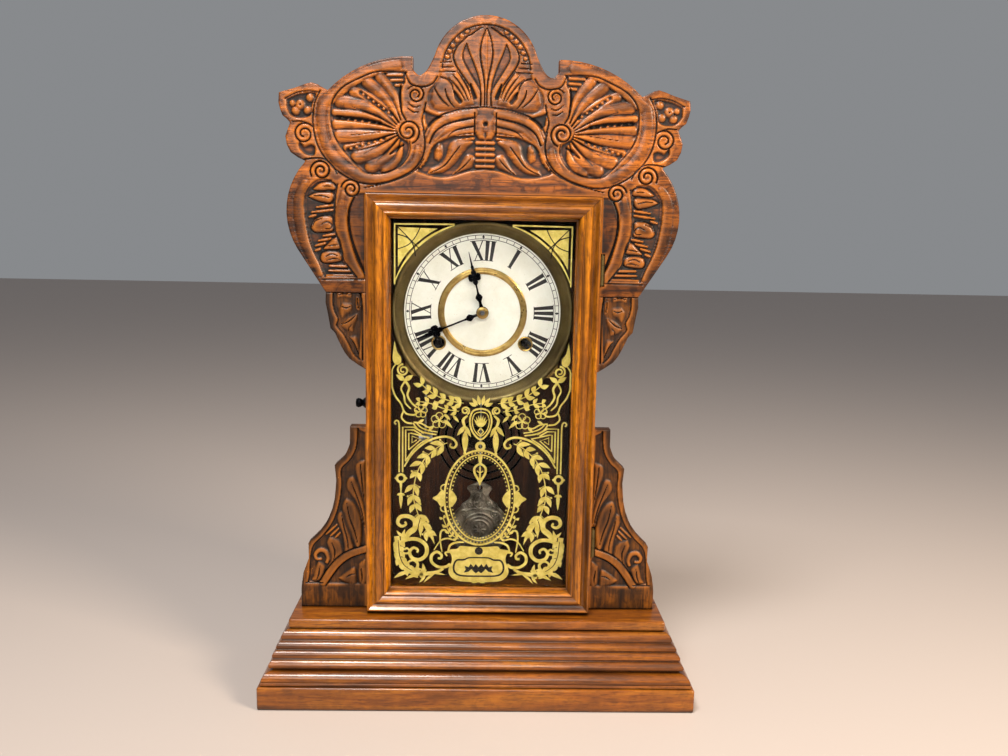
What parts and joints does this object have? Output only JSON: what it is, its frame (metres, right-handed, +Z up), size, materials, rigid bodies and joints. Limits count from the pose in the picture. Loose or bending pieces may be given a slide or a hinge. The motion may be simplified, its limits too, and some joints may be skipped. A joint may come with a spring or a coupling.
{
  "type": "shelf clock",
  "caption": "Pendulum shelf clock in a carved wooden case with side wings, a stepped base, a glazed door and a striking spring-driven movement.",
  "frame": {"origin": "middle of the foot of the plinth", "axes": "+X to the right seen from the front, +Y to the back, +Z up"},
  "size_m": [0.3608, 0.134, 0.5595],
  "materials": {
    "crest_oak": "carved oak, dark antique varnish",
    "wing_oak": "carved oak, dark antique varnish",
    "door_oak": "varnished golden oak",
    "base_oak": "varnished brown oak",
    "case_oak": "stained wood",
    "door_glass": "clear glass with a gilt stencil inside",
    "dial_white": "cream paper on tinplate",
    "aged_brass": "aged pressed brass",
    "brass": "polished brass",
    "steel": "plain steel",
    "black_steel": "blued or blacked steel",
    "nickel": "nickelled pressing",
    "iron": "black iron"
  },
  "bodies": {
    "case": {"base_plinth": "base_oak", "base_moulding_front": "base_oak", "base_moulding_left": "base_oak", "base_moulding_right": "base_oak", "base_top_board": "base_oak", "case_side_left": "case_oak", "case_side_right": "case_oak", "case_top_board": "case_oak", "case_back_board": "case_oak", "crest_board": "crest_oak", "wing_upper_left": "wing_oak", "wing_upper_right": "wing_oak", "wing_lower_left": "wing_oak", "wing_lower_right": "wing_oak", "hinge_upper_case_leaf": "aged_brass", "hinge_lower_case_leaf": "aged_brass", "catch_plate": "aged_brass", "dial_pan": "aged_brass", "dial_face": "dial_white", "dial_centre_ring": "brass", "winding_grommet_left": "brass", "winding_grommet_right": "brass", "dial_cleat_left": "case_oak", "dial_cleat_right": "case_oak", "movement_front_plate": "brass", "movement_back_plate": "brass", "movement_seat": "case_oak", "mainspring_time": "steel", "mainspring_strike": "steel", "verge_cock": "brass", "gong_coil": "black_steel", "gong_block": "iron"},
    "door": {"door_stile_left": "door_oak", "door_stile_right": "door_oak", "door_rail_top": "door_oak", "door_rail_bottom": "door_oak", "door_glass": "door_glass", "door_glass_bead": "door_oak", "hinge_upper_door_leaf": "aged_brass", "hinge_lower_door_leaf": "aged_brass", "door_knob": "black_steel"},
    "hand_shaft": {"centre_arbor": "steel", "minute_hand": "black_steel", "hand_nut": "brass"},
    "hour_pipe": {"hour_wheel": "brass", "hour_hand": "black_steel"},
    "minute_wheel_body": {"minute_wheel": "brass"},
    "centre_wheel_body": {"centre_wheel": "brass"},
    "time_great": {"time_great_wheel": "brass"},
    "time_second": {"time_second_wheel": "brass"},
    "time_third": {"time_third_wheel": "brass"},
    "escape": {"escape_wheel": "brass"},
    "strike_great": {"strike_great_wheel": "brass"},
    "strike_second": {"strike_second_wheel": "brass"},
    "strike_third": {"strike_third_wheel": "brass"},
    "fly": {"strike_fly": "brass"},
    "verge": {"verge_and_crutch": "steel"},
    "pendulum": {"pendulum_rod": "steel", "pendulum_bob": "nickel"},
    "hammer": {"strike_hammer": "steel"}
  },
  "joints": [
    {"name": "door_swing", "type": "hinge", "parent": "case", "child": "door", "pos_m": [0.097, -0.0189, 0.246], "axis": [0, 0, 1], "range_deg": [0, 100]},
    {"name": "hand_shaft_turn", "type": "hinge", "parent": "case", "child": "hand_shaft", "pos_m": [0, 0.02, 0.325], "axis": [0, 1, 0], "continuous": true},
    {"name": "hour_pipe_turn", "type": "hinge", "parent": "case", "child": "hour_pipe", "pos_m": [0, 0.02, 0.325], "axis": [0, 1, 0], "continuous": true},
    {"name": "minute_wheel_turn", "type": "hinge", "parent": "case", "child": "minute_wheel_body", "pos_m": [-0.009, 0.02, 0.3406], "axis": [0, 1, 0], "continuous": true},
    {"name": "time_third_turn", "type": "hinge", "parent": "case", "child": "time_third", "pos_m": [-0.0036, 0.02, 0.3156], "axis": [0, 1, 0], "continuous": true},
    {"name": "time_great_turn", "type": "hinge", "parent": "case", "child": "time_great", "pos_m": [0.0364, 0.02, 0.299], "axis": [0, 1, 0], "continuous": true},
    {"name": "time_second_turn", "type": "hinge", "parent": "case", "child": "time_second", "pos_m": [0.0227, 0.02, 0.32845], "axis": [0, 1, 0], "continuous": true},
    {"name": "escape_turn", "type": "hinge", "parent": "case", "child": "escape", "pos_m": [0, 0.02, 0.2905], "axis": [0, 1, 0], "continuous": true},
    {"name": "centre_wheel_turn", "type": "hinge", "parent": "case", "child": "centre_wheel_body", "pos_m": [0, 0.02, 0.325], "axis": [0, 1, 0], "continuous": true},
    {"name": "strike_third_turn", "type": "hinge", "parent": "case", "child": "strike_third", "pos_m": [-0.0196, 0.02, 0.3498], "axis": [0, 1, 0], "continuous": true},
    {"name": "strike_great_turn", "type": "hinge", "parent": "case", "child": "strike_great", "pos_m": [-0.0364, 0.02, 0.299], "axis": [0, 1, 0], "continuous": true},
    {"name": "strike_second_turn", "type": "hinge", "parent": "case", "child": "strike_second", "pos_m": [-0.042, 0.02, 0.331], "axis": [0, 1, 0], "continuous": true},
    {"name": "fly_turn", "type": "hinge", "parent": "case", "child": "fly", "pos_m": [-0.0017, 0.02, 0.3677], "axis": [0, 1, 0], "continuous": true},
    {"name": "pendulum_swing", "type": "hinge", "parent": "case", "child": "pendulum", "pos_m": [0, 0.02, 0.3075], "axis": [0, 1, 0], "range_deg": [-3.5, 3.5]},
    {"name": "verge_swing", "type": "hinge", "parent": "case", "child": "verge", "pos_m": [0, 0.02, 0.3075], "axis": [0, 1, 0], "range_deg": [-3.6, 3.6]},
    {"name": "hammer_swing", "type": "hinge", "parent": "case", "child": "hammer", "pos_m": [-0.05, 0.02, 0.3585], "axis": [0, 1, 0], "range_deg": [0, 6], "stiffness_Nm_per_rad": 0.02}
  ],
  "couplings": [
    {"joint": "hour_pipe_turn", "follows": "hand_shaft_turn", "ratio": 0.083333},
    {"joint": "minute_wheel_turn", "follows": "hand_shaft_turn", "ratio": -0.33333},
    {"joint": "time_great_turn", "follows": "time_third_turn", "ratio": 0.0069444},
    {"joint": "time_second_turn", "follows": "time_third_turn", "ratio": -0.083333},
    {"joint": "escape_turn", "follows": "time_third_turn", "ratio": -12},
    {"joint": "centre_wheel_turn", "follows": "time_third_turn", "ratio": 0.11111},
    {"joint": "strike_second_turn", "follows": "strike_third_turn", "ratio": -0.16667},
    {"joint": "strike_great_turn", "follows": "strike_third_turn", "ratio": 0.012821},
    {"joint": "fly_turn", "follows": "strike_third_turn", "ratio": -12},
    {"joint": "verge_swing", "follows": "pendulum_swing", "ratio": 1}
  ]
}
